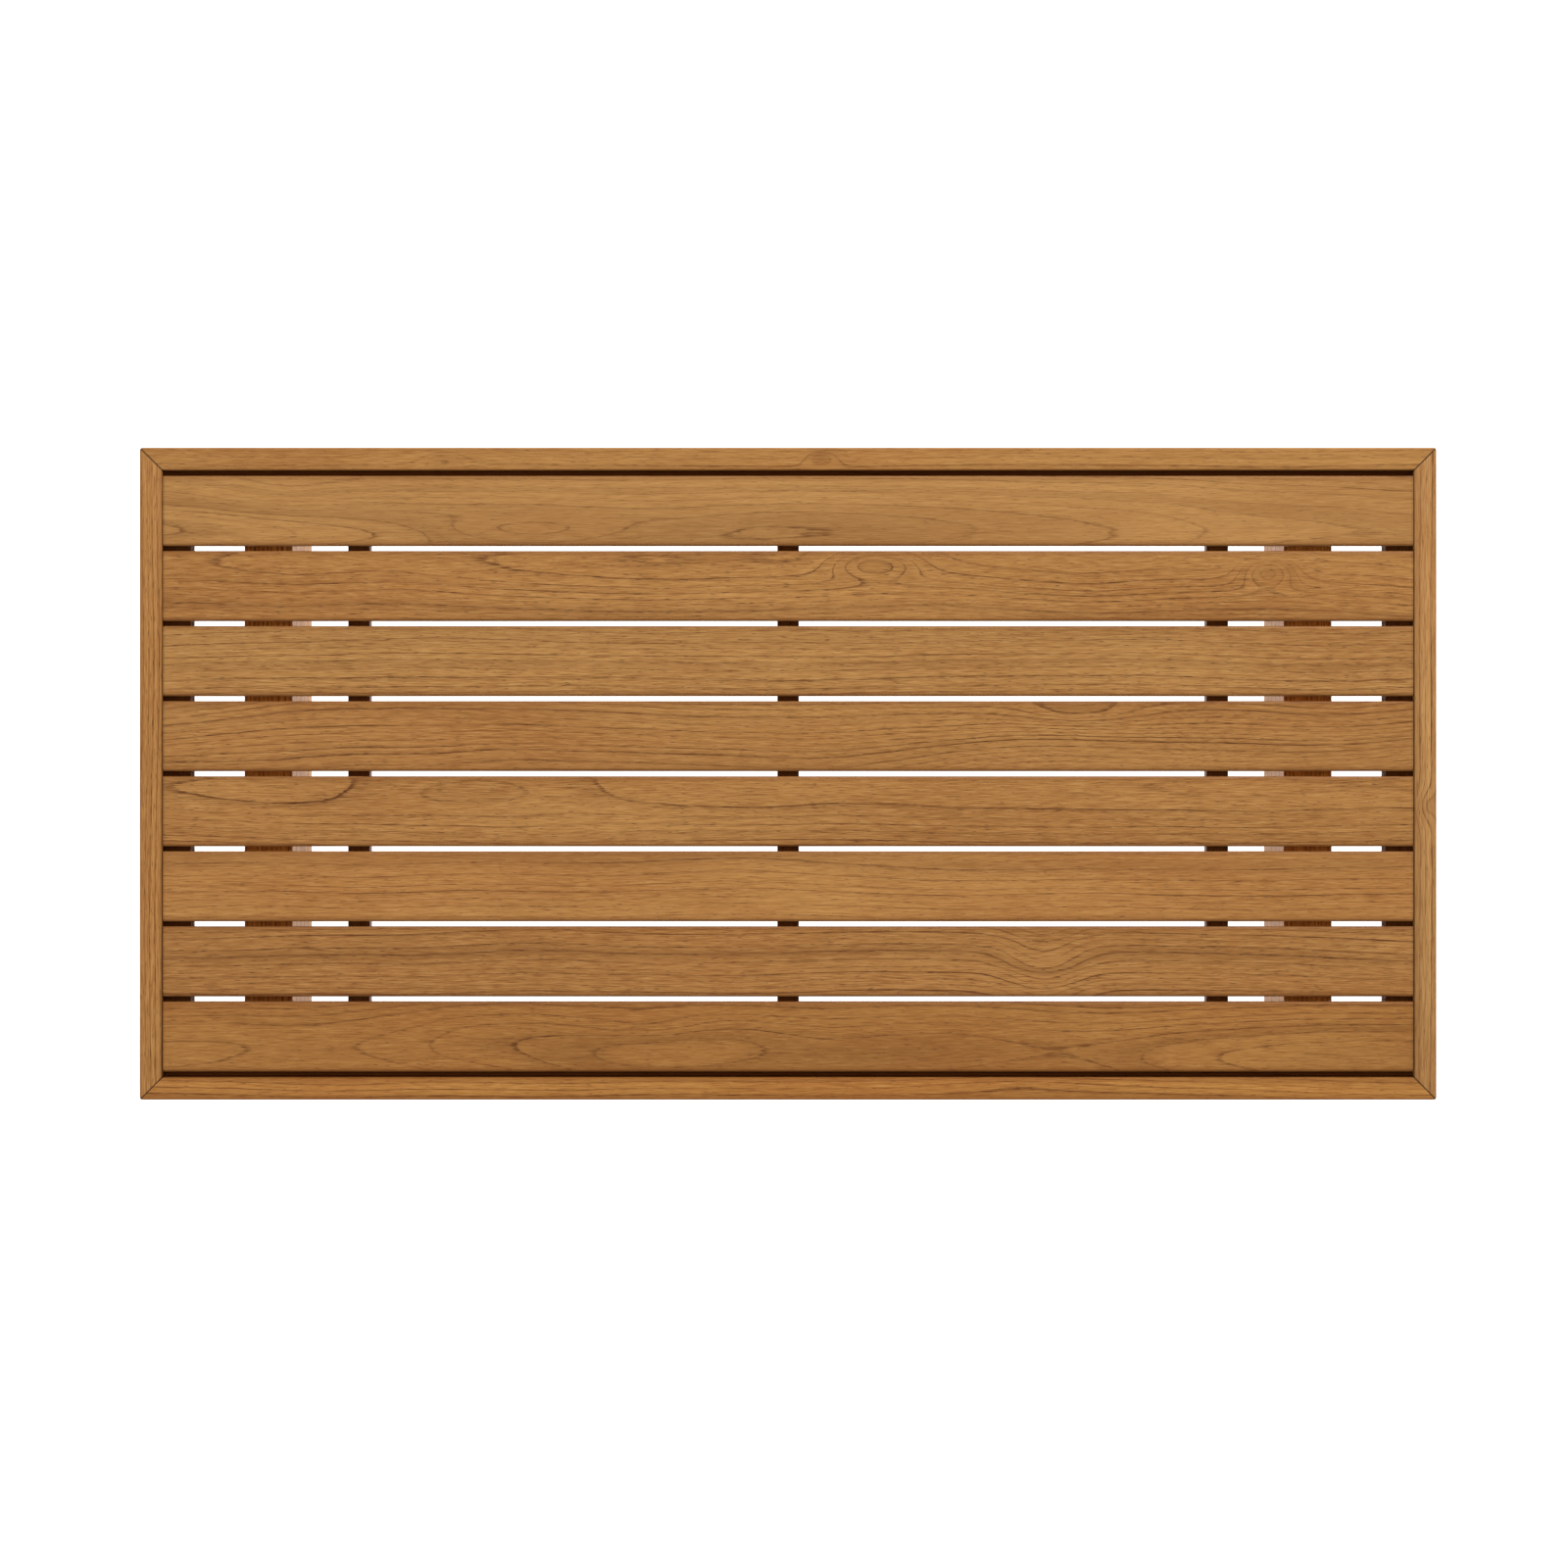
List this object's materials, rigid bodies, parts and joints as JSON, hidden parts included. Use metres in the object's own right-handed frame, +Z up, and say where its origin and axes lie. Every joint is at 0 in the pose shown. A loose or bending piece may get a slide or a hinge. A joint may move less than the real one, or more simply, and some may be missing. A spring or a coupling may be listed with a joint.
{
  "type": "slatted low table",
  "caption": "Raised rectangular teak platform: a mitred frame around lengthwise slats on cleats and battens, standing on two plank-built slab legs.",
  "frame": {"origin": "on the floor, under the middle of the top", "axes": "+Z up out of the slats, +X along the slats (the long side), +Y across the slats towards the back"},
  "size_m": [1.2, 0.6036, 0.4],
  "materials": {
    "frame_teak": "oiled teak, straight grain, satin",
    "slat_teak": "oiled teak, flat-sawn figure, satin",
    "support_teak": "planed teak, matt",
    "leg_teak": "oiled teak, satin",
    "joint_wood": "raw hardwood",
    "steel": "stainless, satin",
    "glide_plastic": "black, matt"
  },
  "bodies": {
    "root": {"frame_back": "frame_teak", "frame_front": "frame_teak", "frame_left": "frame_teak", "frame_right": "frame_teak", "mitre_tongue_left_front": "joint_wood", "mitre_tongue_left_back": "joint_wood", "mitre_tongue_right_front": "joint_wood", "mitre_tongue_right_back": "joint_wood", "slat_1": "slat_teak", "slat_2": "slat_teak", "slat_3": "slat_teak", "slat_4": "slat_teak", "slat_5": "slat_teak", "slat_6": "slat_teak", "slat_7": "slat_teak", "slat_8": "slat_teak", "side_cleat_back": "support_teak", "side_cleat_front": "support_teak", "end_cleat_left": "support_teak", "end_cleat_right": "support_teak", "cross_batten_left": "support_teak", "cross_batten_middle": "support_teak", "cross_batten_right": "support_teak", "leg_left_plank_1": "leg_teak", "leg_left_plank_2": "leg_teak", "leg_left_plank_3": "leg_teak", "leg_left_plank_4": "leg_teak", "leg_left_plank_5": "leg_teak", "leg_right_plank_1": "leg_teak", "leg_right_plank_2": "leg_teak", "leg_right_plank_3": "leg_teak", "leg_right_plank_4": "leg_teak", "leg_right_plank_5": "leg_teak", "leg_dowels_left": "joint_wood", "leg_dowels_right": "joint_wood", "leg_brace_left_inner_front": "steel", "leg_brace_left_inner_back": "steel", "leg_brace_left_outer_front": "steel", "leg_brace_left_outer_back": "steel", "leg_brace_right_inner_front": "steel", "leg_brace_right_inner_back": "steel", "leg_brace_right_outer_front": "steel", "leg_brace_right_outer_back": "steel", "floor_glide_left_front": "glide_plastic", "floor_glide_left_middle": "glide_plastic", "floor_glide_left_back": "glide_plastic", "floor_glide_right_front": "glide_plastic", "floor_glide_right_middle": "glide_plastic", "floor_glide_right_back": "glide_plastic", "slat_screws": "steel", "frame_screws": "steel", "batten_screws": "steel", "brace_screws": "steel", "glide_nails": "steel"}
  },
  "joints": []
}
